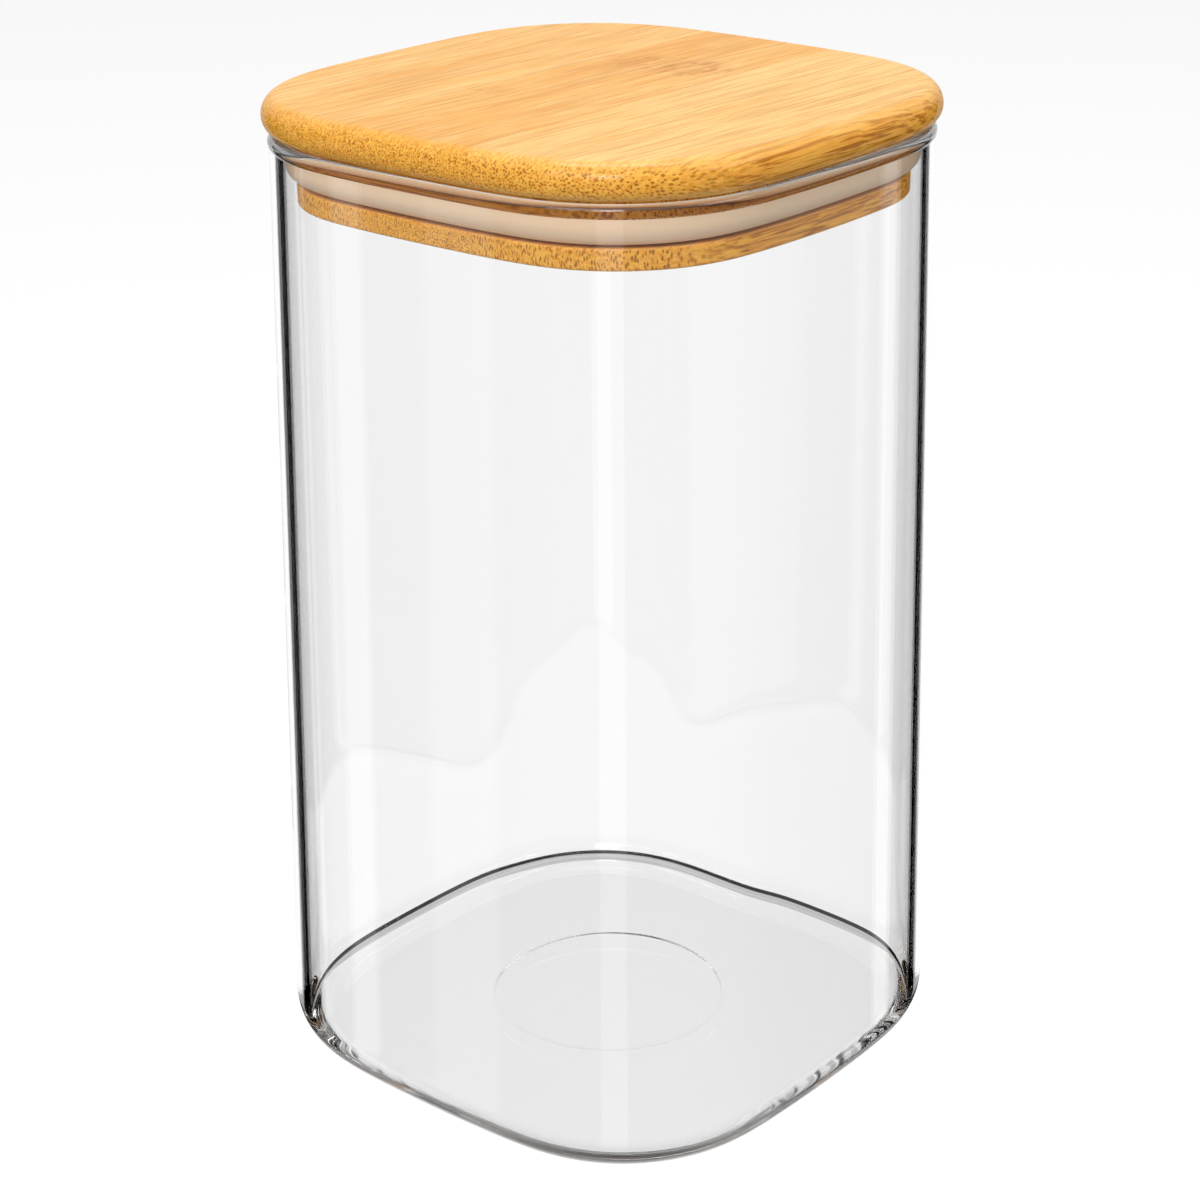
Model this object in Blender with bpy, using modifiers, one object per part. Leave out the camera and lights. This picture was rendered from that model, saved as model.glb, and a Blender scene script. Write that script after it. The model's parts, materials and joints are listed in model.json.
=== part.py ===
"""Square glass storage jar with a bamboo lid, glued up in three plies, and a silicone seal.

Metres, +Z up. The origin is the middle of the foot, on the surface that the jar stands on.
The flat sides face +X, -X, +Y and -Y. The grain of the lid's top board runs along X.
"""

import math

import bpy
import bmesh

# Outline of the jar where its walls would meet the table: bowed sides and round corners
foot_half_width = 0.0500
corner_radius = 0.0316
side_arc_radius = 0.3550

# Glass jar
jar_height = 0.1634
rim_half_width = 0.0470
glass_wall = 0.0021
glass_floor = 0.0045
foot_round = 0.0084
floor_fillet = 0.0010
bead_outward = 0.0003
bead_inward = 0.0001
mark_radius = 0.0207
mark_depth = 0.00015

# Clearances
seat_gap = 0.0003
glue_line = 0.0001
plug_clearance = 0.0021
overrun = 0.0020

# Top board of the lid
lid_overhang = 0.0011
board_thickness = 0.0059
board_top_round = 0.0032
board_under_round = 0.0026

# Plug under the board: a shoulder, the groove of the seal, and a flange
shoulder_height = 0.0026
groove_height = 0.0051
groove_depth = 0.0028
flange_height = 0.0034
flange_edge_round = 0.0005

# Silicone seal: a band in the groove, and a cup that flares out to the glass
seal_band = 0.0012
seal_skin = 0.0010
seal_foot = 0.0006
seal_cup_height = 0.0035
seal_lip_rise = 0.0006

# Where the glue lines lie, as shares of the half width of their ply
board_glue_shares = (-0.794, -0.254, 0.287, 0.828)
core_glue_shares = (-0.631, -0.023, 0.584)
flange_glue_shares = (-0.862, -0.255, 0.353)

# How dark each strip is, between pale straw and warm honey
board_shades = (0.40, 0.20, 0.80, 0.50, 0.60)
core_shades = (0.60, 0.45, 0.70, 0.50)
flange_shades = (0.60, 0.50, 0.70, 0.40)

# Facets
side_facets = 4
corner_facets = 16
round_facets = 6
bead_facets = 10
small_facets = 2
cup_facets = 5
lip_facets = 4
mark_facets = 64

# Worked out from the values above
draft = (foot_half_width - rim_half_width) / jar_height
bead_radius = (glass_wall + bead_outward + bead_inward) / 2
mouth_half_width = rim_half_width - glass_wall
board_half_width = rim_half_width + lid_overhang
plug_half_width = mouth_half_width - plug_clearance
neck_half_width = plug_half_width - groove_depth
board_underside = jar_height + seat_gap
shoulder_underside = board_underside - shoulder_height
flange_top = shoulder_underside - groove_height
flange_underside = flange_top - flange_height
block_reach = board_half_width + overrun


def clear_scene():
    for old in list(bpy.data.objects):
        bpy.data.objects.remove(old, do_unlink=True)


def new_collection(name):
    collection = bpy.data.collections.new(name)
    bpy.context.scene.collection.children.link(collection)
    return collection


def add_object(name, data, collection, finish=None):
    piece = bpy.data.objects.new(name, data)
    collection.objects.link(piece)
    if finish:
        data.materials.append(finish)
    return piece


def material(name, colour, roughness, transmission=0.0, ior=1.5):
    finish = bpy.data.materials.new(name)
    finish.use_nodes = True
    finish.diffuse_color = (*colour, 1.0 - 0.7 * transmission)
    shader = finish.node_tree.nodes["Principled BSDF"]
    shader.inputs["Base Color"].default_value = (*colour, 1.0)
    shader.inputs["Roughness"].default_value = roughness
    shader.inputs["Metallic"].default_value = 0.0
    shader.inputs["Transmission Weight"].default_value = transmission
    shader.inputs["IOR"].default_value = ior
    return finish


def glass_finish():
    return material("clear_glass", (0.97, 0.99, 0.98), 0.01, transmission=1.0, ior=1.47)


def silicone_finish():
    return material("translucent_silicone", (0.80, 0.70, 0.60), 0.45, transmission=0.3, ior=1.41)


def bamboo_finish(name, shade):
    straw = (0.86, 0.62, 0.33)
    honey = (0.68, 0.40, 0.15)
    colour = [pale + (dark - pale) * shade for pale, dark in zip(straw, honey)]
    return material("bamboo_" + name, colour, 0.42)


def outline(half_width):
    """Points round the outline whose sides bow out to this half width, anticlockwise.

    Every outline is an offset of the jar's, so all of them share the centres of their side arcs
    and of their corner arcs, and walls and clearances stay even all the way round.
    """
    inset = foot_half_width - half_width
    sink = side_arc_radius - foot_half_width
    reach = side_arc_radius - corner_radius
    centre = (math.sqrt(2 * reach**2 - sink**2) - sink) / 2
    turn = math.atan2(centre, centre + sink)
    quarter = []
    for step in range(side_facets):
        angle = turn * (2 * step / side_facets - 1)
        side = side_arc_radius - inset
        quarter.append((side * math.cos(angle) - sink, side * math.sin(angle)))
    for step in range(corner_facets):
        angle = turn + (math.pi / 2 - 2 * turn) * step / corner_facets
        corner = corner_radius - inset
        quarter.append((centre + corner * math.cos(angle), centre + corner * math.sin(angle)))
    points = []
    for _ in range(4):
        points += quarter
        quarter = [(-y, x) for x, y in quarter]
    return points


def arc(centre, height, radius, start, end, facets, rise=None):
    """Points along an arc, or along an ellipse that has a rise of its own; angles in degrees."""
    points = []
    for step in range(facets + 1):
        angle = math.radians(start + (end - start) * step / facets)
        across = centre + radius * math.cos(angle)
        points.append((across, height + (rise or radius) * math.sin(angle)))
    return points


def mesh_from(shape, name):
    """Ends a shape: its sides are shaded smooth, its flat ends and its sharp edges are not."""
    bmesh.ops.recalc_face_normals(shape, faces=shape.faces)
    mesh = bpy.data.meshes.new(name)
    shape.to_mesh(mesh)
    shape.free()
    mesh.set_sharp_from_angle(angle=math.radians(30))
    return mesh


def loft(name, sections):
    """A solid raised from one outline to the next, through pairs of half width and height."""
    shape = bmesh.new()
    half_width, height = sections[0]
    ring = [shape.verts.new((x, y, height)) for x, y in outline(half_width)]
    edges = list(shape.faces.new(ring).edges)
    for half_width, height in sections[1:]:
        raised = bmesh.ops.extrude_edge_only(shape, edges=edges)["geom"]
        edges = [item for item in raised if isinstance(item, bmesh.types.BMEdge)]
        above = {corner for edge in edges for corner in edge.verts}
        ring = [next(e.other_vert(v) for e in v.link_edges if e.other_vert(v) in above) for v in ring]
        for corner, (x, y) in zip(ring, outline(half_width)):
            corner.co = (x, y, height)
    shape.faces.new(ring)
    for face in shape.faces:
        face.smooth = len(face.verts) == 4
    return mesh_from(shape, name)


def blank(name, half_width, low, high):
    """A board with the jar's outline, sawn square at its edge."""
    return loft(name, [(half_width, low), (half_width, high)])


def hide(cutter):
    cutter.hide_render = True
    cutter.display_type = "WIRE"
    return cutter


def block(name, low, high, cutters):
    """A block between two opposite corners."""
    shape = bmesh.new()
    bmesh.ops.create_cube(shape, size=1.0)
    size = [top - bottom for bottom, top in zip(low, high)]
    middle = [(top + bottom) / 2 for bottom, top in zip(low, high)]
    bmesh.ops.scale(shape, verts=shape.verts, vec=size)
    bmesh.ops.translate(shape, verts=shape.verts, vec=middle)
    return hide(add_object(name, mesh_from(shape, name), cutters))


def boolean(piece, cutter, operation):
    modifier = piece.modifiers.new(cutter.name, "BOOLEAN")
    modifier.operation = operation
    modifier.solver = "EXACT"
    modifier.object = cutter


def round_edges(piece, radii, facets):
    """Rounds over the edges of a blank; radii pairs the height of each edge with its radius."""
    largest = max(radius for _, radius in radii)
    weights = piece.data.attributes.new("bevel_weight_edge", "FLOAT", "EDGE")
    for edge in piece.data.edges:
        ends = [piece.data.vertices[index].co.z for index in edge.vertices]
        for height, radius in radii:
            if all(math.isclose(end, height, abs_tol=seat_gap / 2) for end in ends):
                weights.data[edge.index].value = radius / largest
    modifier = piece.modifiers.new("rounded_edges", "BEVEL")
    modifier.limit_method = "WEIGHT"
    modifier.width = largest
    modifier.segments = facets


def make_jar(parts, cutters):
    """The glass: round foot, drafted wall, rolled rim, filleted inside and a thick floor."""
    foot = (foot_half_width - draft * foot_round - foot_round, foot_round)
    bead = (rim_half_width + bead_outward - bead_radius, jar_height - bead_radius)
    bead_start = -math.degrees(math.acos((bead_radius - bead_outward) / bead_radius))
    bead_end = 180 + math.degrees(math.acos((bead_radius - bead_inward) / bead_radius))
    well_height = glass_floor + floor_fillet
    well = (foot_half_width - draft * well_height - glass_wall - floor_fillet, well_height)
    sections = arc(*foot, foot_round, -90, 0, round_facets)
    sections += arc(*bead, bead_radius, bead_start, bead_end, bead_facets)
    sections += arc(*well, floor_fillet, 0, -90, round_facets)
    jar = add_object("glass_jar", loft("glass_jar", sections), parts, glass_finish())
    boolean(jar, mould_mark(cutters), "DIFFERENCE")


def mould_mark(cutters):
    """The shallow round that the mould leaves in the middle of the floor."""
    shape = bmesh.new()
    depth = mark_depth + overrun
    bmesh.ops.create_cone(
        shape,
        cap_ends=True,
        segments=mark_facets,
        radius1=mark_radius,
        radius2=mark_radius,
        depth=depth,
    )
    bmesh.ops.translate(shape, verts=shape.verts, vec=(0, 0, glass_floor - mark_depth + depth / 2))
    for face in shape.faces:
        face.smooth = len(face.verts) == 4
    return hide(add_object("mould_mark", mesh_from(shape, "mould_mark"), cutters))


def saw_into_strips(make_ply, name, half_width, glue_shares, shades, along_x, cutters):
    """Saws a ply along its glue lines: each strip is the whole ply less what is outside a block."""
    lines = [-block_reach] + [share * half_width for share in glue_shares] + [block_reach]
    strips = []
    for number, (start, end, shade) in enumerate(zip(lines, lines[1:], shades), start=1):
        strip_name = "%s_%d" % (name, number)
        strip = make_ply(strip_name, bamboo_finish(strip_name, shade))
        near = start + glue_line / 2
        far = end - glue_line / 2
        if along_x:
            corners = ((-block_reach, near, 0), (block_reach, far, jar_height + block_reach))
        else:
            corners = ((near, -block_reach, 0), (far, block_reach, jar_height + block_reach))
        boolean(strip, block("keep_" + strip_name, *corners, cutters), "INTERSECT")
        strips.append(strip)
    return strips


def make_board(parts, cutters):
    """The top board: five strips along X, rounded over above and below to a nearly round edge."""
    board_top = board_underside + board_thickness
    radii = ((board_underside, board_under_round), (board_top, board_top_round))

    def make_ply(name, finish):
        mesh = blank(name, board_half_width, board_underside, board_top)
        ply = add_object(name, mesh, parts, finish)
        round_edges(ply, radii, round_facets)
        return ply

    return saw_into_strips(
        make_ply, "board_strip", board_half_width, board_glue_shares, board_shades, True, cutters
    )


def groove_cutter(cutters):
    """What a router takes away all round the core: a ring as high as the groove."""
    low = flange_top - overrun
    reach = plug_half_width + overrun
    ring = add_object("groove", blank("groove", reach, low, shoulder_underside), cutters)
    neck = blank("neck", neck_half_width, low - overrun, shoulder_underside + overrun)
    boolean(ring, hide(add_object("neck", neck, cutters)), "DIFFERENCE")
    return hide(ring)


def make_core(parts, cutters):
    """The middle ply: four strips along Y, with a shoulder above the groove of the seal."""
    groove = groove_cutter(cutters)

    def make_ply(name, finish):
        mesh = blank(name, plug_half_width, flange_top + glue_line, board_underside - glue_line)
        ply = add_object(name, mesh, parts, finish)
        boolean(ply, groove, "DIFFERENCE")
        return ply

    return saw_into_strips(
        make_ply, "core_strip", plug_half_width, core_glue_shares, core_shades, False, cutters
    )


def make_flange(parts, cutters):
    """The bottom ply: four strips along X, which hold the seal up."""
    radii = ((flange_underside, flange_edge_round), (flange_top, flange_edge_round))

    def make_ply(name, finish):
        mesh = blank(name, plug_half_width, flange_underside, flange_top)
        ply = add_object(name, mesh, parts, finish)
        round_edges(ply, radii, small_facets)
        return ply

    return saw_into_strips(
        make_ply, "flange_strip", plug_half_width, flange_glue_shares, flange_shades, True, cutters
    )


def seal_section():
    """The cut seal, as points outward from its inner face and upward from its foot."""
    band_height = groove_height - 2 * seat_gap
    reach = mouth_half_width - seat_gap - (neck_half_width + seat_gap)
    cup = reach - seal_foot
    lip = seal_skin / 2
    inner_cup = cup - seal_skin
    inner_rise = seal_cup_height - seal_skin
    joint = math.degrees(math.acos((seal_band - seal_foot) / inner_cup))
    points = [(0, 0)]
    points += arc(seal_foot, seal_cup_height, cup, -90, 0, cup_facets, rise=seal_cup_height)
    points += arc(reach - lip, band_height + seal_lip_rise - lip, lip, 0, 180, lip_facets)
    points += arc(seal_foot, seal_cup_height, inner_cup, 0, -joint, cup_facets, rise=inner_rise)
    points += [(seal_band, band_height), (0, band_height)]
    return points


def closed_curve(name, points):
    curve = bpy.data.curves.new(name, "CURVE")
    curve.dimensions = "2D"
    curve.fill_mode = "NONE"
    spline = curve.splines.new("POLY")
    spline.points.add(len(points) - 1)
    for control, (x, y) in zip(spline.points, points):
        control.co = (x, y, 0, 1)
    spline.use_cyclic_u = True
    return curve


def make_seal(parts, cutters):
    """The silicone ring: its section is swept once round the groove, with outward on its left."""
    points = [(-outward, upward) for outward, upward in seal_section()]
    section = hide(add_object("seal_section", closed_curve("seal_section", points), cutters))
    path = closed_curve("seal_path", outline(neck_half_width + seat_gap))
    path.bevel_mode = "OBJECT"
    path.bevel_object = section
    sweep = add_object("seal_path", path, parts)
    sweep.location.z = flange_top + seat_gap
    bpy.context.view_layer.update()
    swept = sweep.evaluated_get(bpy.context.evaluated_depsgraph_get())
    mesh = bpy.data.meshes.new_from_object(swept)
    mesh.name = "silicone_seal"
    mesh.shade_smooth()
    mesh.set_sharp_from_angle(angle=math.radians(40))
    seal = add_object("silicone_seal", mesh, parts, silicone_finish())
    seal.matrix_world = sweep.matrix_world
    bpy.data.objects.remove(sweep)
    return seal


def main():
    clear_scene()
    parts = new_collection("glass_jar_with_bamboo_lid")
    cutters = new_collection("cutters")
    make_jar(parts, cutters)
    lid = add_object("lid_lift", None, parts)
    pieces = make_board(parts, cutters)
    pieces += make_core(parts, cutters)
    pieces += make_flange(parts, cutters)
    pieces.append(make_seal(parts, cutters))
    for piece in pieces:
        piece.parent = lid


main()
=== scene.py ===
# %% [markdown]
# # A square glass jar with a bamboo lid
#
# The jar is one piece of clear glass. Its lid is bamboo, glued up in three plies, and a silicone
# ring sits in a groove round the lid's plug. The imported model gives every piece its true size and
# place. This lesson rebuilds each piece with a finer surface, gives it a procedural finish, and
# lights it like a catalogue picture of glass.
#
# Everything is in metres, +Z up, with the middle of the jar's foot at the origin.

import json
import math

import bmesh
import bpy
from mathutils import Matrix, Vector

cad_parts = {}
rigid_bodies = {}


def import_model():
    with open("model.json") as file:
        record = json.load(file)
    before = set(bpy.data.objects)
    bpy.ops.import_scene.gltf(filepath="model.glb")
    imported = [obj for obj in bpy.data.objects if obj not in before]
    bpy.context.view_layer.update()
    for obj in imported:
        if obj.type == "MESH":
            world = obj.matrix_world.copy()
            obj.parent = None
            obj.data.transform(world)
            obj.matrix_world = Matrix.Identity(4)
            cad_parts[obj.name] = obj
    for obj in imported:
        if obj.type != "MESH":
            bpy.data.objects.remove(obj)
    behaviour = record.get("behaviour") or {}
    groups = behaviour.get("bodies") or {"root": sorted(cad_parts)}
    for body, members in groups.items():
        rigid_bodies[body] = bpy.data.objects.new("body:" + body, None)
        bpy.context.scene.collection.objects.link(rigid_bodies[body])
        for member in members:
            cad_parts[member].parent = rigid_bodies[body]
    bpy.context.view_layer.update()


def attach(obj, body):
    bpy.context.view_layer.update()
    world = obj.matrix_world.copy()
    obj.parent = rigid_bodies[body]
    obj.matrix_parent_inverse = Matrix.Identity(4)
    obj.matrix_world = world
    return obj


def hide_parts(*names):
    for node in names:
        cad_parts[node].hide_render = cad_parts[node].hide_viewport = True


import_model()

# %% [markdown]
# ## Sizes
#
# The sizes repeat those of the solid model, because a finer surface must lie where the solid one
# does. Millimetres read better than metres in a table, so each table is written in millimetres
# and multiplied once by `mm`.

# %% Sizes of the jar, the lid and the seal
mm = 0.001

# The outline that all pieces share, how finely it is laid out, and where a turn counts as sharp
foot_half = 50.0 * mm
corner_radius = 31.6 * mm
side_radius = 355.0 * mm
steps_on_a_side = 34
steps_on_a_corner = 40
blend_passes = 26
sharp_angle = math.radians(35)

# The jar
jar_height = 163.4 * mm
rim_half = 47.0 * mm
wall = 2.1 * mm
floor_thickness = 4.5 * mm
foot_round = 8.4 * mm
floor_fillet = 1.0 * mm
bead_out = 0.3 * mm
bead_in = 0.1 * mm
bead_radius = (wall + bead_out + bead_in) / 2
mark_radius = 20.7 * mm
mark_depth = 0.15 * mm
mark_edge = 0.35 * mm
mark_lip_width = 0.5 * mm
mark_lip_rise = 0.07 * mm

# A guard point lies this far beyond each end of an arc, so that the smooth shading of the arc
# can't spread over the flat that follows it and bend the view through it
guard = 0.25 * mm

# The lid
seat_gap = 0.3 * mm
glue_gap = 0.1 * mm
board_half = rim_half + 1.1 * mm
board_low = jar_height + seat_gap
board_high = board_low + 5.9 * mm
board_top_round = 3.2 * mm
board_under_round = 2.6 * mm
plug_half = rim_half - wall - 2.1 * mm
neck_half = plug_half - 2.8 * mm
shoulder_low = board_low - 2.6 * mm
groove_height = 5.1 * mm
flange_high = shoulder_low - groove_height
flange_low = flange_high - 3.4 * mm
flange_round = 0.5 * mm
flange_guard = 0.2 * mm
seal_reach = rim_half - wall - seat_gap
print("jar:", round(jar_height / mm, 1), "mm high")
print("lid board:", round(2 * board_half / mm, 1), "mm wide")

# %% [markdown]
# ## One rule for every shape
#
# Seen from above, the jar, the lid and the seal share one outline: four bowed sides joined by four
# round corners. A wall, a clearance or an overhang is that outline moved in or out by an even
# amount. So one Geometry Nodes tree can make all of them. It takes a section, which is a chain of
# points that holds a half width in X and a height in Z, and carries it round the outline.
#
# Blown glass has no sudden change of bend, and where an arc of 355 mm meets one of 31.6 mm a clear
# wall would show a kink in everything behind it. So the tree first lays out a ring of evenly
# spaced points, and blends places and directions along it in a number of passes. That spreads the
# change over some millimetres and moves the outline by about a tenth of one.
#
# A Curve to Mesh sweep could do this too, but here the wall stays exactly even in the corners, and
# a section point can also say in Y how far its ring has turned into a true circle, as the round
# mark in the jar's floor needs.

# %% A helper that writes math nodes as calls
def link_or_set(tree, socket, value):
    if isinstance(value, bpy.types.NodeSocket):
        tree.links.new(value, socket)
    else:
        socket.default_value = value


class NodeMath:
    """Adds math nodes to a tree: add(a, b) makes an Add node, and so on."""

    def __init__(self, tree):
        self.tree = tree

    def __getattr__(self, operation):
        def make(*values, clamp=False):
            node = self.tree.nodes.new("ShaderNodeMath")
            node.operation = operation.upper()
            node.use_clamp = clamp
            for socket, value in zip(node.inputs, values):
                link_or_set(self.tree, socket, value)
            return node.outputs[0]

        return make

    def pick(self, test, when_true, when_false):
        """Arithmetic choice: test is 1 or 0."""
        return self.add(self.multiply(test, self.subtract(when_true, when_false)), when_false)

    def vector(self, *values):
        node = self.tree.nodes.new("ShaderNodeCombineXYZ")
        for socket, value in zip(node.inputs, values):
            link_or_set(self.tree, socket, value)
        return node.outputs[0]

    def parts(self, vector):
        node = self.tree.nodes.new("ShaderNodeSeparateXYZ")
        self.tree.links.new(vector, node.inputs[0])
        return node.outputs[:3]


# %% A helper that adds a geometry node with its inputs
def add_node(tree, kind, geometry=None, **inputs):
    """Adds a node and fills the sockets that are switched on, by label with _ for a space. It
    returns the outputs that are switched on."""
    settings = {key: inputs.pop(key) for key in ("data_type", "component") if key in inputs}
    node = tree.nodes.new(kind)
    for key, value in settings.items():
        setattr(node, key, value)
    if geometry is not None:
        tree.links.new(geometry, node.inputs[0])
    for label, value in inputs.items():
        socket = [s for s in node.inputs if s.enabled and s.name == label.replace("_", " ")][0]
        link_or_set(tree, socket, value)
    return [socket for socket in node.outputs if socket.enabled]


# %% First part of the tree: the evenly spaced ring
def lay_ring(tree, m, half, corner, side, side_steps, corner_steps, passes):
    """A closed ring of points on the outline, each of which stores the way that it faces."""
    sink = m.subtract(side, half)
    reach = m.subtract(side, corner)
    square = m.subtract(m.multiply(2.0, m.power(reach, 2.0)), m.power(sink, 2.0))
    centre = m.divide(m.subtract(m.sqrt(square), sink), 2.0)
    turn = m.arctan2(centre, m.add(centre, sink))

    steps = m.add(side_steps, corner_steps)
    index = add_node(tree, "GeometryNodeInputIndex")[0]
    quarter = m.floor(m.divide(m.add(index, 0.5), steps))
    step = m.subtract(index, m.multiply(quarter, steps))
    on_side = m.less_than(m.add(step, 0.5), side_steps)
    side_turn = m.multiply(turn, m.subtract(m.divide(m.multiply(2.0, step), side_steps), 1.0))
    span = m.subtract(math.pi / 2, m.multiply(2.0, turn))
    share = m.divide(m.subtract(step, side_steps), corner_steps)
    corner_turn = m.add(turn, m.multiply(span, share))
    base = m.multiply(quarter, math.pi / 2)
    facing = m.add(base, m.pick(on_side, side_turn, corner_turn))

    # Each point is an arc's centre plus that arc's radius along the way it faces
    radius = m.pick(on_side, side, corner)
    away = m.pick(on_side, m.multiply(sink, -1.0), m.multiply(centre, math.sqrt(2)))
    toward = m.add(base, m.multiply(m.subtract(1.0, on_side), math.pi / 4))
    x = m.add(m.multiply(away, m.cosine(toward)), m.multiply(radius, m.cosine(facing)))
    y = m.add(m.multiply(away, m.sine(toward)), m.multiply(radius, m.sine(facing)))

    def blend(vector):
        inputs = {"data_type": "FLOAT_VECTOR", "Value": vector, "Iterations": passes}
        return add_node(tree, "GeometryNodeBlurAttribute", **inputs)[0]

    ring = add_node(tree, "GeometryNodeMeshCircle", Vertices=m.multiply(steps, 4.0))[0]
    ring = add_node(tree, "GeometryNodeSetPosition", ring, Position=blend(m.vector(x, y, 0.0)))[0]
    faces = blend(m.vector(m.cosine(facing), m.sine(facing), 0.0))
    stored = {"data_type": "FLOAT_VECTOR", "Name": "facing", "Value": faces}
    ring = add_node(tree, "GeometryNodeStoreNamedAttribute", ring, **stored)[0]
    return ring, steps


# %% The tree that carries a section round the ring
def outline_tree():
    tree = bpy.data.node_groups.new("section_round_outline", "GeometryNodeTree")
    sockets = [
        ("Section", "NodeSocketGeometry", None),
        ("Foot Half Width", "NodeSocketFloat", foot_half),
        ("Corner Radius", "NodeSocketFloat", corner_radius),
        ("Side Arc Radius", "NodeSocketFloat", side_radius),
        ("Steps On A Side", "NodeSocketInt", steps_on_a_side),
        ("Steps On A Corner", "NodeSocketInt", steps_on_a_corner),
        ("Blend Passes", "NodeSocketInt", blend_passes),
        ("Finish", "NodeSocketMaterial", None),
    ]
    for label, kind, value in sockets:
        made = tree.interface.new_socket(label, in_out="INPUT", socket_type=kind)
        if value is not None:
            made.default_value = value
    tree.interface.new_socket("Solid", in_out="OUTPUT", socket_type="NodeSocketGeometry")
    start = tree.nodes.new("NodeGroupInput")
    section, half, corner, side, side_steps, corner_steps, passes, finish = start.outputs[:8]
    m = NodeMath(tree)
    ring, steps = lay_ring(tree, m, half, corner, side, side_steps, corner_steps, passes)

    # A grid with one row for each ring point, and one column for each section point
    count = add_node(tree, "GeometryNodeAttributeDomainSize", section, component="MESH")[0]
    around_count = m.multiply(steps, 4.0)
    rows = m.add(around_count, 1.0)
    grid = add_node(tree, "GeometryNodeMeshGrid", Vertices_X=rows, Vertices_Y=count)[0]
    index = add_node(tree, "GeometryNodeInputIndex")[0]
    around = m.floor(m.divide(m.add(index, 0.5), count))
    along = m.subtract(index, m.multiply(around, count))
    ring_index = m.modulo(around, around_count)

    def sample(geometry, value, place):
        inputs = {"data_type": "FLOAT_VECTOR", "Value": value, "Index": place}
        return add_node(tree, "GeometryNodeSampleIndex", geometry, **inputs)[0]

    position = add_node(tree, "GeometryNodeInputPosition")[0]
    stored = {"data_type": "FLOAT_VECTOR", "Name": "facing"}
    facing = add_node(tree, "GeometryNodeInputNamedAttribute", **stored)[0]
    width, circle, height = m.parts(sample(section, position, along))
    ring_x, ring_y, _ = m.parts(sample(ring, position, ring_index))
    face_x, face_y, _ = m.parts(sample(ring, facing, ring_index))
    stretch = m.sqrt(m.add(m.power(face_x, 2.0), m.power(face_y, 2.0)))
    inset = m.divide(m.subtract(width, half), stretch)
    x = m.add(ring_x, m.multiply(face_x, inset))
    y = m.add(ring_y, m.multiply(face_y, inset))
    length = m.sqrt(m.add(m.power(x, 2.0), m.power(y, 2.0)))
    scale = m.pick(circle, m.divide(width, length), 1.0)
    place = m.vector(m.multiply(x, scale), m.multiply(y, scale), height)

    solid = add_node(tree, "GeometryNodeSetPosition", grid, Position=place)[0]
    solid = add_node(tree, "GeometryNodeMergeByDistance", solid, Distance=0.002 * mm)[0]
    solid = add_node(tree, "GeometryNodeSetShadeSmooth", solid)[0]
    solid = add_node(tree, "GeometryNodeRealizeInstances", solid)[0]
    solid = add_node(tree, "GeometryNodeSetMaterial", solid, Material=finish)[0]
    tree.links.new(solid, tree.nodes.new("NodeGroupOutput").inputs[0])
    return tree


round_the_outline = outline_tree()
print("tree:", len(round_the_outline.nodes), "nodes")


# %% [markdown]
# ## Using the tree
#
# A section starts as a mesh of loose points. The tree runs as a modifier on it, its result is kept
# as a plain mesh, and the two ends are closed with flat faces where the section leaves them open.

# %% From section to finished mesh
def new_object(name, data):
    thing = bpy.data.objects.new(name, data)
    bpy.context.scene.collection.objects.link(thing)
    return thing


def raise_solid(name, section, finish):
    """Returns the mesh of a section carried round the outline, closed and facing outwards. The
    section's points are (half width, height), or (half width, roundness, height)."""
    points = bpy.data.meshes.new(name + "_section")
    places = [point if len(point) == 3 else (point[0], 0, point[1]) for point in section]
    points.from_pydata(places, [], [])
    holder = new_object(name + "_section", points)
    modifier = holder.modifiers.new("round_outline", "NODES")
    modifier.node_group = round_the_outline
    inputs = {
        item.name: item.identifier
        for item in round_the_outline.interface.items_tree
        if item.in_out == "INPUT"
    }
    modifier[inputs["Finish"]] = finish
    bpy.context.view_layer.update()
    evaluated = holder.evaluated_get(bpy.context.evaluated_depsgraph_get())
    mesh = bpy.data.meshes.new_from_object(evaluated)
    mesh.name = name
    bpy.data.objects.remove(holder)
    shape = bmesh.new()
    shape.from_mesh(mesh)
    rims = [edge for edge in shape.edges if edge.is_boundary]
    bmesh.ops.holes_fill(shape, edges=rims)
    bmesh.ops.recalc_face_normals(shape, faces=shape.faces)
    for face in shape.faces:
        face.smooth = True
    shape.to_mesh(mesh)
    shape.free()
    mesh.set_sharp_from_angle(angle=sharp_angle)
    if finish and not mesh.materials:
        mesh.materials.append(finish)
    return mesh


def arc(centre, height, radius, start, end, steps, rise=None):
    """Section points along an arc or an ellipse, with angles in degrees."""
    points = []
    for step in range(steps + 1):
        angle = math.radians(start + (end - start) * step / steps)
        across = centre + radius * math.cos(angle)
        points.append((across, height + (rise or radius) * math.sin(angle)))
    return points


def add_piece(name, mesh, body, *nodes):
    piece = new_object(name, mesh)
    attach(piece, body)
    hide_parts(*nodes)
    return piece


# %% [markdown]
# ## Glass
#
# Clear glass has almost no colour of its own: what shows is the room, bent by the walls. So the
# finish is a plain refracting surface. A very slight unevenness, stretched along the height, stands
# for the way that a wall sinks a little under its own weight while it is soft.

# %% The glass finish
def new_material(name):
    material = bpy.data.materials.new(name)
    material.use_nodes = True
    tree = material.node_tree
    shader = tree.nodes["Principled BSDF"]
    return material, tree, shader


def object_coordinates(tree, scale=(1, 1, 1), turn=(0, 0, 0)):
    """Object coordinates through a Mapping node."""
    source = tree.nodes.new("ShaderNodeTexCoord")
    mapping = tree.nodes.new("ShaderNodeMapping")
    mapping.inputs["Scale"].default_value = scale
    mapping.inputs["Rotation"].default_value = turn
    tree.links.new(source.outputs["Object"], mapping.inputs["Vector"])
    return mapping.outputs["Vector"]


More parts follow.
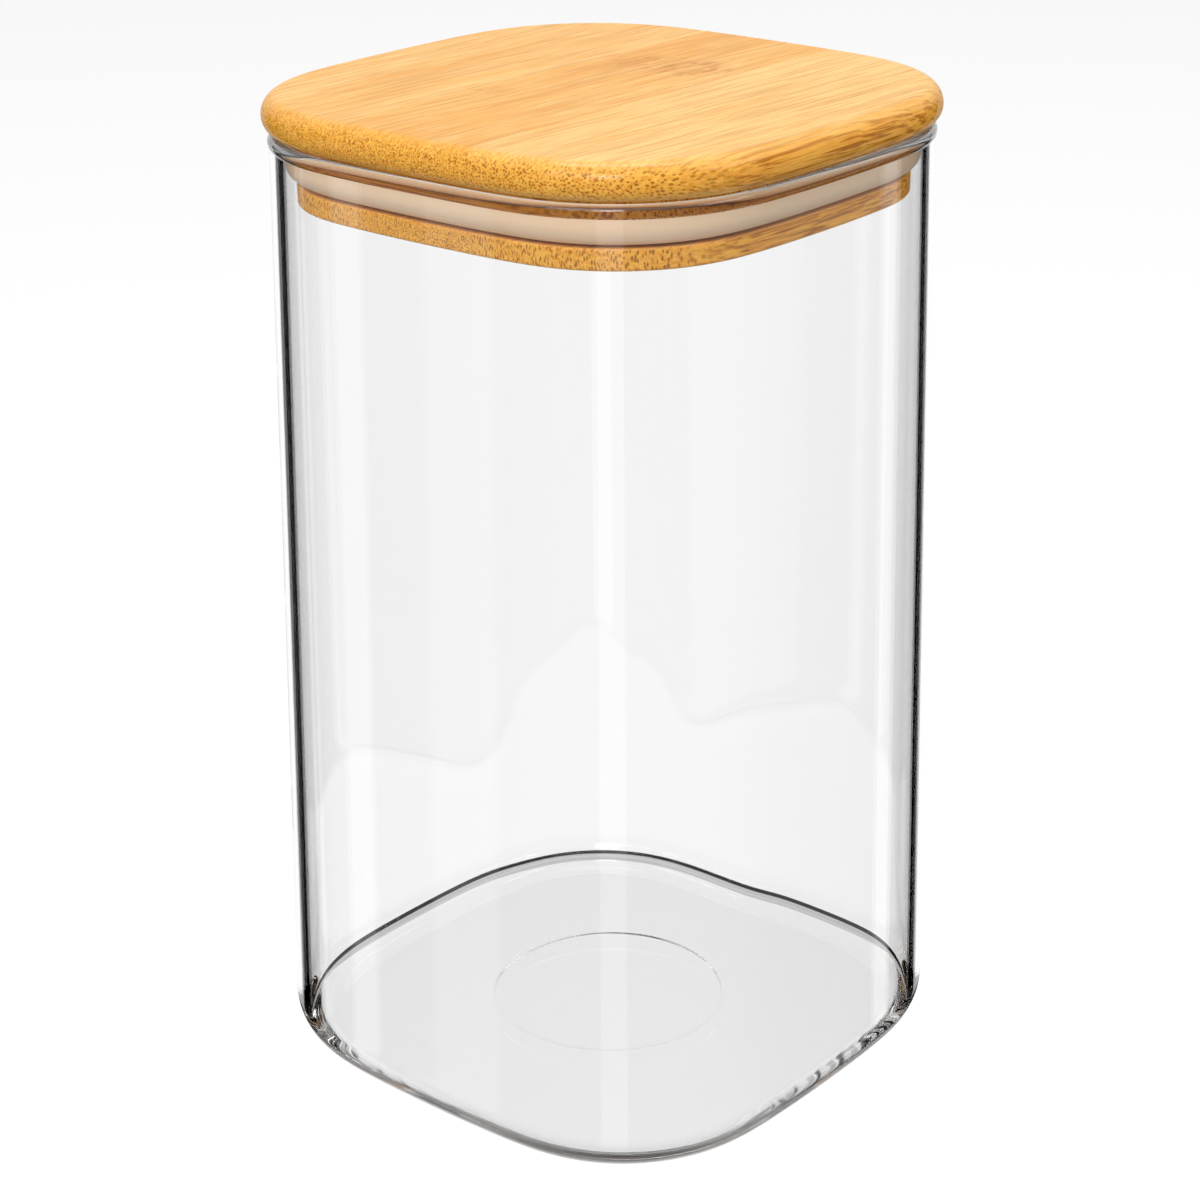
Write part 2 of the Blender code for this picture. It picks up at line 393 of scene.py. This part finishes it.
def noise(tree, vector, scale, detail=2.0, roughness=0.5, distortion=0.0):
    node = tree.nodes.new("ShaderNodeTexNoise")
    node.inputs["Scale"].default_value = scale
    node.inputs["Detail"].default_value = detail
    node.inputs["Roughness"].default_value = roughness
    node.inputs["Distortion"].default_value = distortion
    tree.links.new(vector, node.inputs["Vector"])
    return node.outputs["Fac"]


def bump(tree, shader, height, strength, distance):
    node = tree.nodes.new("ShaderNodeBump")
    node.inputs["Strength"].default_value = strength
    node.inputs["Distance"].default_value = distance
    tree.links.new(height, node.inputs["Height"])
    tree.links.new(node.outputs["Normal"], shader.inputs["Normal"])


def ramp(m, value, low, high):
    """0 below low, 1 above high."""
    return m.divide(m.subtract(value, low), high - low, clamp=True)


def clear_glass():
    material, tree, shader = new_material("clear_glass")
    shader.inputs["Base Color"].default_value = (0.992, 0.992, 0.992, 1)
    shader.inputs["Roughness"].default_value = 0.0
    shader.inputs["IOR"].default_value = 1.47
    shader.inputs["Transmission Weight"].default_value = 1.0
    drawn = noise(tree, object_coordinates(tree, (1, 1, 0.12)), 45.0, detail=1.0)
    bump(tree, shader, drawn, 0.03, 0.3 * mm)
    return material


# %% The jar
def jar_section():
    """From the foot up the outside, over the bead, down the inside and over the floor."""
    foot_steps, bead_steps, fillet_steps = 36, 32, 16
    draft = (foot_half - rim_half) / jar_height
    foot = (foot_half - draft * foot_round - foot_round, foot_round)
    bead = (rim_half + bead_out - bead_radius, jar_height - bead_radius)
    well_height = floor_thickness + floor_fillet
    well = (foot_half - draft * well_height - wall - floor_fillet, well_height)
    start = -math.degrees(math.acos((bead_radius - bead_out) / bead_radius))
    end = 180 + math.degrees(math.acos((bead_radius - bead_in) / bead_radius))
    lip = arc(*bead, bead_radius, start, end, bead_steps)
    points = [(foot[0] - guard, 0)]
    points += arc(*foot, foot_round, -90, 0, foot_steps)
    points.append((foot[0] + foot_round - draft * guard, foot_round + guard))
    points.append((lip[0][0] + draft * guard, lip[0][1] - guard))
    points += lip
    points.append((lip[-1][0] + draft * guard, lip[-1][1] - guard))
    points.append((well[0] + floor_fillet - draft * guard, well_height + guard))
    points += arc(*well, floor_fillet, 0, -90, fillet_steps)
    points.append((well[0] - guard, floor_thickness))
    return points + mark_rings()


def mark_rings():
    """True circles: a faint lip round the moulded mark, then the step down into it."""
    steps = 8
    lip = (mark_radius + mark_edge + mark_lip_width, floor_thickness)
    rings = [(lip[0] + guard, 1, lip[1])]
    for step in range(steps + 1):
        share = step / steps
        rise = mark_lip_rise * (1 - math.cos(math.pi * share)) / 2
        radius = mark_radius + mark_edge + mark_lip_width * (1 - share)
        rings.append((radius, 1, floor_thickness + rise))
    for step in range(1, steps + 1):
        share = step / steps
        drop = (mark_depth + mark_lip_rise) * (1 - math.cos(math.pi * share)) / 2
        radius = mark_radius + mark_edge * (1 - 2 * share)
        rings.append((radius, 1, floor_thickness + mark_lip_rise - drop))
    rings.append((mark_radius - mark_edge - guard, 1, floor_thickness - mark_depth))
    return rings


def hide_from(thing, *rays):
    for ray in rays:
        setattr(thing, "visible_" + ray, False)


jar_mesh = raise_solid("jar_glass", jar_section(), clear_glass())
jar = add_piece("jar_glass", jar_mesh, "jar", "glass_jar")
hide_from(jar, "shadow", "diffuse")
print("jar:", len(jar.data.polygons), "faces")


# %% [markdown]
# ## Bamboo
#
# Bamboo has no year rings. Its strength is in dark fibre bundles that run straight along the stem
# like rods, close together near the skin and wide apart inside. Cut across they are dots, and cut
# along the stem they are long streaks. A picture of bamboo laid on each face could show both, but
# it would show a seam at the rounded edge as well. Patterns in space have no seam, so the edge
# passes from streaks to dots as the real board's does.
#
# A flat Voronoi pattern across the grain makes the rods. Noise stretched along the grain makes the
# drifts of colour, the fine threads and the dark streaks. The material reads how far each face
# turns towards the end of the grain: dots belong there, streaks belong on the sides, and both are
# faint on the top.

# %% Fibre bundles, and the way that a face turns
def mix_colour(tree, factor, first, second):
    node = tree.nodes.new("ShaderNodeMix")
    node.data_type = "RGBA"
    link_or_set(tree, node.inputs["Factor"], factor)
    for label, value in (("A", first), ("B", second)):
        link_or_set(tree, node.inputs[label], (*value, 1) if isinstance(value, tuple) else value)
    return node.outputs["Result"]


def face_turns(tree, m, along):
    """How far a face turns towards the end of the grain, and how far it turns from lying flat."""
    geometry = tree.nodes.new("ShaderNodeNewGeometry")
    facing = m.parts(geometry.outputs["True Normal"])
    end_grain = ramp(m, m.absolute(facing[0 if along == "x" else 1]), 0.12, 0.55)
    upright = m.subtract(1.0, ramp(m, m.absolute(facing[2]), 0.45, 0.95))
    return end_grain, upright


def fibre_bundles(tree, m, across, grain, bundle):
    """Rods that stand across the grain as dots, each thicker here and thinner there."""
    cells = tree.nodes.new("ShaderNodeTexVoronoi")
    cells.voronoi_dimensions = "2D"
    cells.inputs["Scale"].default_value = 1 / bundle
    cells.inputs["Randomness"].default_value = 0.9
    tree.links.new(across, cells.inputs["Vector"])
    patchy = noise(tree, grain(11.0, 3.1), 1100.0, detail=1.0)
    core = m.add(0.24, m.multiply(m.subtract(patchy, 0.5), 0.70))
    return m.subtract(1.0, ramp(m, m.subtract(cells.outputs["Distance"], core), -0.10, 0.12))


# %% The ground between the bundles
straw, honey = (0.98, 0.62, 0.22), (0.88, 0.41, 0.07)
chestnut, gold = (0.82, 0.30, 0.016), (1.0, 0.54, 0.08)
umber, amber = (0.66, 0.23, 0.014), (1.0, 0.58, 0.10)


def bamboo_ground(tree, m, grain, tone, drift, thread, end_grain, upright):
    """Broad drifts of colour and fine threads. Faces that stand upright get a deeper colour than
    the top, and the end grain is speckled as well."""
    shade = m.add(m.multiply(m.subtract(drift, 0.5), 1.6), tone)
    shade = m.add(shade, m.multiply(m.subtract(thread, 0.5), 3.0), clamp=True)
    ground = mix_colour(tree, shade, straw, honey)
    clouds = ramp(m, noise(tree, grain(3.0, 5.5), 420.0, detail=4.0, roughness=0.7), 0.36, 0.66)
    threads = m.multiply(ramp(m, thread, 0.42, 0.58), 0.5)
    deep = mix_colour(tree, m.add(m.multiply(clouds, 0.5), threads), chestnut, gold)
    ground = mix_colour(tree, m.multiply(upright, 0.85), ground, deep)
    speck = noise(tree, grain(9.0, 8.8), 2100.0, detail=3.0, roughness=0.75)
    speckled = mix_colour(tree, ramp(m, speck, 0.40, 0.60), umber, amber)
    return mix_colour(tree, m.multiply(end_grain, 0.50), ground, speckled)


# %% The scars of leaf sheaths
def sheath_scar(tree, m, grain, x, y, drift, figure):
    """How dark a scar is: short dashes that swirl across the grain. A figure is the scar's
    middle, its half length along the grain, its half width and its strength."""
    middle_x, middle_y, half_length, half_width, strength = figure
    wander = m.multiply(m.subtract(drift, 0.5), 1.6)
    off_x = m.add(m.divide(m.subtract(x, middle_x), half_length), wander)
    off_y = m.divide(m.subtract(y, middle_y), half_width)
    spread = m.add(m.power(m.absolute(off_x), 2.0), m.power(m.absolute(off_y), 4.0))
    inside = m.subtract(1.0, ramp(m, spread, 0.35, 1.0))
    dashes = noise(tree, grain(3.6, 11.0), 900.0, detail=2.0, distortion=0.6)
    scar = m.multiply(inside, m.add(0.18, m.multiply(ramp(m, dashes, 0.52, 0.64), 0.9)))
    return m.multiply(scar, strength)


# %% The bamboo finish
streak_brown, bundle_brown = (0.42, 0.135, 0.012), (0.36, 0.125, 0.012)
scar_brown = (0.58, 0.21, 0.025)


def bamboo(name, along, tone, seed, bundle, figures, rise):
    """Bamboo with its grain along x or y. A tone of 0 is straw and 1 is honey. A bundle is the
    space from one fibre bundle to the next, and the figures are its scars. A rise below 1 draws
    the dots of the end grain out upwards, as in a strip laid with its skin to one side."""
    material, tree, shader = new_material("bamboo_" + name)
    m = NodeMath(tree)
    turn = (0, 0, math.radians(2.0)) if along == "x" else (0, 0, math.radians(90))
    x, y, z = m.parts(object_coordinates(tree, (1, 1, 1), turn))
    sway = noise(tree, m.vector(m.add(x, seed), m.multiply(y, 0.6), z), 55.0, detail=1.0)
    y = m.add(y, m.multiply(m.subtract(sway, 0.5), 1.6 * mm))

    def grain(length, shift):
        """Coordinates in which a pattern comes out this many times longer than it is wide."""
        return m.vector(
            m.add(m.multiply(x, 1 / length), seed + shift), m.add(y, seed * 0.37 + shift), z
        )

    end_grain, upright = face_turns(tree, m, along)
    across = m.vector(m.add(y, seed), m.multiply(z, rise), 0.0)
    bundles = fibre_bundles(tree, m, across, grain, bundle)
    bundles = m.multiply(bundles, m.add(0.12, m.multiply(end_grain, 0.88)))
    drift = noise(tree, grain(9.0, 7.7), 150.0, detail=3.0, roughness=0.6)
    thread = noise(tree, grain(26.0, 1.3), 2400.0, detail=3.0, roughness=0.7)
    streak = noise(tree, grain(38.0, 4.9), 1700.0, detail=3.0, roughness=0.62)
    streak = m.multiply(ramp(m, streak, 0.47, 0.60), m.subtract(1.0, end_grain))

    # The sides show the streaks and the bundles more strongly than the top
    strength = m.add(0.32, m.multiply(upright, 0.58))
    colour = bamboo_ground(tree, m, grain, tone, drift, thread, end_grain, upright)
    colour = mix_colour(tree, m.multiply(streak, strength), colour, streak_brown)
    colour = mix_colour(tree, m.multiply(bundles, strength), colour, bundle_brown)
    for figure in figures:
        scar = sheath_scar(tree, m, grain, x, y, drift, figure)
        colour = mix_colour(tree, scar, colour, scar_brown)

    tree.links.new(colour, shader.inputs["Base Color"])
    link_or_set(tree, shader.inputs["Roughness"], m.add(0.40, m.multiply(thread, 0.15)))
    shader.inputs["Specular IOR Level"].default_value = 0.0
    shader.inputs["Coat Weight"].default_value = 0.35
    shader.inputs["Coat Roughness"].default_value = 0.16
    bump(tree, shader, m.subtract(thread, m.multiply(bundles, 0.7)), 0.14, 0.2 * mm)
    return material


# %% [markdown]
# ## Plies and strips
#
# Each ply is made whole with the tree, then sawn along its glue lines. Sawing a finished ply keeps
# the outline true from strip to strip, and each strip gets its own finish, because no two strips
# of bamboo match.

# %% Sections of the three plies
def board_section():
    low = (board_half - board_under_round, board_low + board_under_round)
    high = (board_half - board_top_round, board_high - board_top_round)
    points = [(low[0] - guard, board_low)]
    points += arc(*low, board_under_round, -90, 0, 14)
    points += arc(*high, board_top_round, 0, 90, 16)
    return points + [(high[0] - guard, board_high)]


def core_section():
    return [
        (neck_half, flange_high + glue_gap),
        (neck_half, shoulder_low),
        (plug_half, shoulder_low),
        (plug_half, board_low - glue_gap),
    ]


def flange_section():
    inside = plug_half - flange_round
    low, high = flange_low + flange_round, flange_high - flange_round
    points = [(inside - flange_guard, flange_low)]
    points += arc(inside, low, flange_round, -90, 0, 5)
    points += [(plug_half, low + flange_guard), (plug_half, high - flange_guard)]
    points += arc(inside, high, flange_round, 0, 90, 5)
    return points + [(inside - flange_guard, flange_high)]


# %% Saw a ply into strips
def cut_off(shape, point, normal):
    """Cuts away what lies beyond a plane, on the side that its normal faces."""
    everything = shape.verts[:] + shape.edges[:] + shape.faces[:]
    return bmesh.ops.bisect_plane(
        shape, geom=everything, plane_co=point, plane_no=normal, clear_outer=True
    )


def saw(mesh, axis, near, far):
    """A copy of the mesh cut down to what lies between two planes across an axis."""
    shape = bmesh.new()
    shape.from_mesh(mesh)
    for place, side in ((near, -1), (far, 1)):
        if place is None:
            continue
        normal = Vector((side, 0, 0)) if axis == "x" else Vector((0, side, 0))
        cut = cut_off(shape, normal * place * side, normal)
        edges = [item for item in cut["geom_cut"] if isinstance(item, bmesh.types.BMEdge)]
        filled = bmesh.ops.contextual_create(shape, geom=edges)
        for face in filled["faces"]:
            face.smooth = False
    bmesh.ops.recalc_face_normals(shape, faces=shape.faces)
    strip = bpy.data.meshes.new(mesh.name)
    shape.to_mesh(strip)
    shape.free()
    strip.set_sharp_from_angle(angle=sharp_angle)
    return strip


def make_strips(ply, section, half, glue_shares, across, along, looks, slot):
    """Looks holds a tone, a bundle spacing, the figures and the rise of each strip."""
    whole = raise_solid(ply, section, None)
    lines = [None] + [share * half for share in glue_shares] + [None]
    for number, (near, far, look) in enumerate(zip(lines, lines[1:], looks), start=1):
        node = "%s_strip_%d" % (ply, number)
        tone, bundle, figures, rise = look
        strip = saw(whole, across, near, far)
        strip.name = node
        strip.materials.clear()
        seed = 1.7 * number + len(ply)
        finish = bamboo(node, along, tone, seed, bundle * mm, figures, rise)
        strip.materials.append(finish)
        add_piece("bamboo_" + node, strip, "lid", node)
    print(ply, "ply:", number, "strips")


board_glue = (-0.794, -0.254, 0.287, 0.828)
core_glue = (-0.631, -0.023, 0.584)
flange_glue = (-0.862, -0.255, 0.353)
scar = (18.0 * mm, 1.0 * mm, 6.5 * mm, 12.0 * mm, 0.75)
eye = (-14.0 * mm, 12.0 * mm, 3.0 * mm, 2.2 * mm, 0.6)
board_looks = (
    (0.36, 0.58, (), 1.0),
    (0.20, 0.52, (), 1.0),
    (0.76, 0.44, (scar, eye), 1.0),
    (0.56, 0.38, (), 1.0),
    (0.50, 0.36, (), 1.0),
)
core_looks = [(tone, 0.45, (), 1.0) for tone in (0.6, 0.5, 0.7, 0.5)]
flange_looks = (
    (0.40, 0.36, (), 0.22),
    (0.45, 0.36, (), 0.3),
    (0.60, 0.36, (), 0.8),
    (0.5, 0.34, (), 0.25),
)
plies = (
    ("board", board_section(), board_half, board_glue, "y", "x", board_looks),
    ("core", core_section(), plug_half, core_glue, "x", "y", core_looks),
    ("flange", flange_section(), plug_half, flange_glue, "y", "x", flange_looks),
)
for ply in plies:
    make_strips(*ply, "bamboo_" + ply[0])


# %% [markdown]
# ## The silicone seal
#
# A band of silicone sits in the groove, and a thin cup flares out from it to the glass. Silicone is
# milky: light goes in, scatters and comes out near by, so subsurface scattering suits it better
# than a clear or a painted finish.

# %% The silicone finish
def milky_silicone():
    material, tree, shader = new_material("milky_silicone")
    clouds = noise(tree, object_coordinates(tree), 60.0, detail=2.0)
    colour = mix_colour(tree, clouds, (0.92, 0.64, 0.42), (0.96, 0.70, 0.49))
    tree.links.new(colour, shader.inputs["Base Color"])
    shader.inputs["Roughness"].default_value = 0.34
    shader.inputs["Subsurface Weight"].default_value = 0.4
    shader.inputs["Subsurface Radius"].default_value = (1.0, 0.7, 0.5)
    shader.inputs["Subsurface Scale"].default_value = 2 * mm
    fine = noise(tree, object_coordinates(tree), 900.0, detail=1.0)
    bump(tree, shader, fine, 0.05, 0.1 * mm)
    return material


# %% The seal
def seal_section():
    """A flat band against the neck, and a cup that curves out of it up to the glass."""
    base = flange_high + seat_gap
    root = neck_half + seat_gap
    band_height = groove_height - 2 * seat_gap
    band_width = 1.2 * mm
    foot = root + band_width / 2
    skin = 1.0 * mm
    cup_height = 3.5 * mm
    cup = seal_reach - foot
    tip = band_height + 0.6 * mm - skin / 2
    joint = math.degrees(math.acos(band_width / 2 / (cup - skin)))
    points = [(root, base)]
    points += arc(foot, base + cup_height, cup, -90, 0, 16, rise=cup_height)
    points += arc(seal_reach - skin / 2, base + tip, skin / 2, 0, 180, 10)
    points += arc(foot, base + cup_height, cup - skin, 0, -joint, 12, rise=cup_height - skin)
    top = base + band_height
    return points + [(root + band_width, top), (root, top), (root, base)]


seal_mesh = raise_solid("silicone_ring", seal_section(), milky_silicone())
seal = add_piece("silicone_ring", seal_mesh, "lid", "silicone_seal")
print("seal:", len(seal.data.polygons), "faces")


# %% [markdown]
# ## Camera
#
# The camera stands in front of the jar's near corner and looks down on it. Its place, its turn and
# its lens come from fitting the jar's outlines to the picture's frame.

# %% The camera
camera_distance = 447.719 * mm
camera_height = 264.404 * mm
camera_bearing = math.radians(50.23)
camera_yaw = -0.00276
camera_pitch = 0.38966
camera_roll = -0.00842

camera_data = bpy.data.cameras.new("camera")
camera_data.sensor_width = 36.0
camera_data.lens = 84.530
camera_data.clip_start = 0.01
camera_data.clip_end = 50.0
camera = new_object("camera", camera_data)
bpy.context.scene.camera = camera
behind = Vector((math.sin(camera_bearing), math.cos(camera_bearing), 0))
right = Vector((math.cos(camera_bearing), -math.sin(camera_bearing), 0))
stand = Vector(
    (
        -camera_distance * math.sin(camera_bearing),
        -camera_distance * math.cos(camera_bearing),
        camera_height,
    )
)
camera_place = (
    Matrix.Translation(stand)
    @ Matrix.Rotation(-(camera_bearing + camera_yaw), 4, "Z")
    @ Matrix.Rotation(math.pi / 2 - camera_pitch, 4, "X")
    @ Matrix.Rotation(camera_roll, 4, "Z")
)
camera.matrix_world = camera_place
print("camera at", [round(value, 3) for value in stand])


# %% [markdown]
# ## Studio
#
# Glass is drawn by what stands round it. In front of a white background a clear jar would vanish,
# so a photographer puts black cards beside it: the corners and the rim bend the view far enough to
# catch them, which draws crisp dark edges. What stands in front shows as a faint reflection on the
# flat walls, so a grey screen there takes the glare off them, and white strips in it give the
# upright bands of light.
#
# The jar's floor and the round edge of its foot bend the view up and outwards. A dark ring round
# the horizon and a dark ceiling make them a little darker than the background. Both are hidden
# from reflections, so that the walls and the lacquer keep their shine.
#
# The screens hang on the camera, so every view has them, and only shiny or clear surfaces can see
# them. Lamps can't do this work, because clear glass has a dark edge only where it shows something
# dark.

# %% The white surroundings
def white_world(light_level):
    world = bpy.data.worlds.new("white_room")
    bpy.context.scene.world = world
    world.use_nodes = True
    tree = world.node_tree
    m = NodeMath(tree)
    background = tree.nodes["Background"]
    background.inputs["Color"].default_value = (1, 1, 1, 1)
    path = tree.nodes.new("ShaderNodeLightPath")
    seen = m.add(path.outputs["Is Camera Ray"], path.outputs["Is Glossy Ray"])
    seen = m.add(seen, path.outputs["Is Transmission Ray"], clamp=True)
    link_or_set(tree, background.inputs["Strength"], m.pick(seen, 1.0, light_level))


def glow_material(name, brightness):
    """A surface that glows white and does nothing else. At a brightness of 0 it is black."""
    material = bpy.data.materials.new(name)
    material.use_nodes = True
    tree = material.node_tree
    tree.nodes.clear()
    glow = tree.nodes.new("ShaderNodeEmission")
    glow.inputs["Color"].default_value = (1, 1, 1, 1)
    glow.inputs["Strength"].default_value = brightness
    output = tree.nodes.new("ShaderNodeOutputMaterial")
    tree.links.new(glow.outputs[0], output.inputs["Surface"])
    return material


white_world(light_level=0.46)
print("world:", bpy.context.scene.world.name)


# %% The screens round the jar
def toward(bearing):
    """The way from the jar to a bearing in degrees: 0 is the side of the camera, and positive is
    to the picture's right."""
    return right * math.sin(math.radians(bearing)) - behind * math.cos(math.radians(bearing))


def hang_screen(name, brightness, start, end, low, high, shiny=True):
    """A curved screen round the jar from one bearing to another, between a low and a high ring of
    (radius, height). One that isn't shiny is hidden from reflections: it shows only through
    glass."""
    steps = max(2, round((end - start) / 4))
    points = []
    for step in range(steps + 1):
        out = toward(start + (end - start) * step / steps)
        points += [out * radius + Vector((0, 0, height)) for radius, height in (low, high)]
    faces = [(2 * step, 2 * step + 2, 2 * step + 3, 2 * step + 1) for step in range(steps)]
    mesh = bpy.data.meshes.new(name)
    mesh.from_pydata(points, [], faces)
    mesh.materials.append(glow_material(name, brightness))
    screen = new_object(name, mesh)
    screen.parent = camera
    screen.matrix_parent_inverse = camera_place.inverted()
    hide_from(screen, "camera", "diffuse", "shadow")
    screen.visible_glossy = shiny


upright = ((1.0, -0.9), (1.0, 0.3))
hang_screen("black_card_left", 0.0, -140, -112, *upright)
hang_screen("black_card_right", 0.0, 112, 140, *upright)
hang_screen("black_wing_left", 0.0, -150, -140, *upright, shiny=False)
hang_screen("black_wing_right", 0.0, 140, 150, *upright, shiny=False)
horizon = ((1.0, 0.03), (1.0, 0.74))
hang_screen("dark_ring_around", 0.0, -180, 180, *horizon, shiny=False)
ceiling = ((1.0, 0.84), (0.02, 1.4))
hang_screen("dark_ceiling", 0.0, -180, 180, *ceiling, shiny=False)
grey_wall = ((1.1, -1.4), (1.1, 0.9))
strip = ((1.08, -1.4), (1.08, 0.9))
hang_screen("grey_screen", 0.38, -108, 108, *grey_wall)
hang_screen("strip_behind_camera", 1.0, -14, 2, *strip)
hang_screen("strip_left", 1.0, -91, -86, *strip)
hang_screen("soft_strip_left", 0.7, -80, -71, *strip)
print("screens:", len(camera.children))


# %% [markdown]
# ## Under the foot and over the rim
#
# The lines round the base are a view through the glass to what the jar stands on. Three thin
# plates of the outline's own shape lie there, each a little wider and lower than the one before:
# pale, grey and black. The grey and the black plates are painted shadow: they stand for the jar's
# own shade on the table under the edge of its foot and round it. Together the plates draw the
# lines of the base and keep the middle of the floor pale.
#
# Light also enters at the rim, runs down inside the wall and comes out at the foot, where it would
# fill the near dark line. A black plate in the gap under the lid's board stops it over the far
# half of the rim. It is painted shade for that narrow gap, which little light reaches. The near
# half stays open, because the rim's own bright line is there.

# %% What lies under and round the foot
def plate_mesh(name, half, top, thickness, brightness):
    """A thin plate of the outline's shape."""
    finish = glow_material(name, brightness)
    return raise_solid(name, [(half, top), (half, top - thickness)], finish)


def lay_plate(name, reach, depth, brightness):
    """A flat plate just under the jar. It reaches this many mm beyond the foot's outline, and a
    greater depth lays it lower."""
    top = -(0.15 + 0.01 * depth) * mm
    mesh = plate_mesh(name, foot_half + reach * mm, top, 0.005 * mm, brightness)
    plate = new_object(name, mesh)
    hide_from(plate, "camera", "diffuse", "shadow")
    print(name + ":", len(mesh.polygons), "faces")


# A pale plate under the middle of the floor, then painted shadow: a grey plate under the foot's
# edge and a black one round the foot, for the jar's shade on the table.
lay_plate("pale_under_the_foot", -2.6, 0, 1.0)
lay_plate("painted_shadow_under_the_edge", -0.3, 1, 0.6)
lay_plate("painted_shadow_round_the_foot", 4.6, 2, 0.0)


# %% Painted shade over the far half of the rim
def shade_far_rim():
    """A black plate in the gap under the lid's board, over the half of the rim behind the jar. It
    is painted shade for that narrow gap, which little light reaches.
    """
    name = "painted_shade_over_the_far_rim"
    past_the_middle = 8 * mm
    mesh = plate_mesh(name, rim_half + 0.6 * mm, jar_height + 0.22 * mm, 0.01 * mm, 0.0)
    shape = bmesh.new()
    shape.from_mesh(mesh)
    cut_off(shape, -past_the_middle * behind, -behind)
    shape.to_mesh(mesh)
    shape.free()
    plate = new_object(name, mesh)
    hide_from(plate, "camera", "diffuse", "glossy", "shadow")
    print("shade over the far rim:", len(mesh.polygons), "faces")


shade_far_rim()


# %% [markdown]
# ## Floor, lamps and bounces
#
# A white floor in the light of these lamps would still come out grey, so this one glows as well,
# and all that shows on it is the object's soft shadow. Four softboxes light the lid: a large key
# lamp from the front left, a small one for the bright line on the board's near edge, one for its
# right side and one overhead.
#
# A view down into the rim runs along inside the wall and meets its faces some sixty times before
# it gets out. With fewer bounces than that the rim turns black, so the limits are raised.

# %% The floor
def pale_floor():
    """The glow of a screen, with a matte surface added to it."""
    material = glow_material("pale_floor", 0.75)
    nodes, links = material.node_tree.nodes, material.node_tree.links
    matte = nodes.new("ShaderNodeBsdfDiffuse")
    matte.inputs["Color"].default_value = (0.30, 0.30, 0.30, 1)
    both = nodes.new("ShaderNodeAddShader")
    links.new(matte.outputs[0], both.inputs[0])
    links.new(nodes["Emission"].outputs[0], both.inputs[1])
    links.new(both.outputs[0], nodes["Material Output"].inputs["Surface"])
    return material


reach = 4.0
floor_height = -0.3 * mm
corners = [(-reach, -reach), (reach, -reach), (reach, reach), (-reach, reach)]
floor_mesh = bpy.data.meshes.new("floor")
floor_mesh.from_pydata([(x, y, floor_height) for x, y in corners], [], [(0, 1, 2, 3)])
floor_mesh.materials.append(pale_floor())
floor = new_object("floor", floor_mesh)
hide_from(floor, "diffuse", "glossy", "transmission")
print("floor:", 2 * reach, "m wide")


# %% The lamps
def softbox(name, place, size, watts):
    lamp = bpy.data.lights.new(name, "AREA")
    lamp.shape = "RECTANGLE"
    lamp.size, lamp.size_y = size
    lamp.energy = watts
    box = new_object(name, lamp)
    box.location = place
    box.rotation_euler = (aim - place).to_track_quat("-Z", "Y").to_euler()


def round_the_jar(bearing, elevation, distance):
    """A place by its bearing, as for the screens, and its elevation, both in degrees."""
    level, up = math.cos(math.radians(elevation)), math.sin(math.radians(elevation))
    return distance * (toward(bearing) * level + Vector((0, 0, up)))


aim = Vector((0, 0, 0.12))
softbox("key_softbox", round_the_jar(-25, 42, 1.3), (0.8, 0.8), 5.6)
softbox("edge_softbox", round_the_jar(-8, 44, 1.2), (0.32, 0.32), 2.9)
softbox("rim_softbox", round_the_jar(78, 46, 1.2), (0.6, 0.25), 1.5)
softbox("overhead_softbox", round_the_jar(180, 80, 1.1), (0.5, 0.3), 2.5)
print("softboxes:", len(bpy.data.lights))


# %% Bounces enough for the rim
light_paths = bpy.context.scene.cycles
light_paths.max_bounces = 160
light_paths.glossy_bounces = 160
light_paths.transmission_bounces = 160
print("bounces:", light_paths.max_bounces)


# %% The view transform
bpy.context.scene.view_settings.view_transform = "Standard"
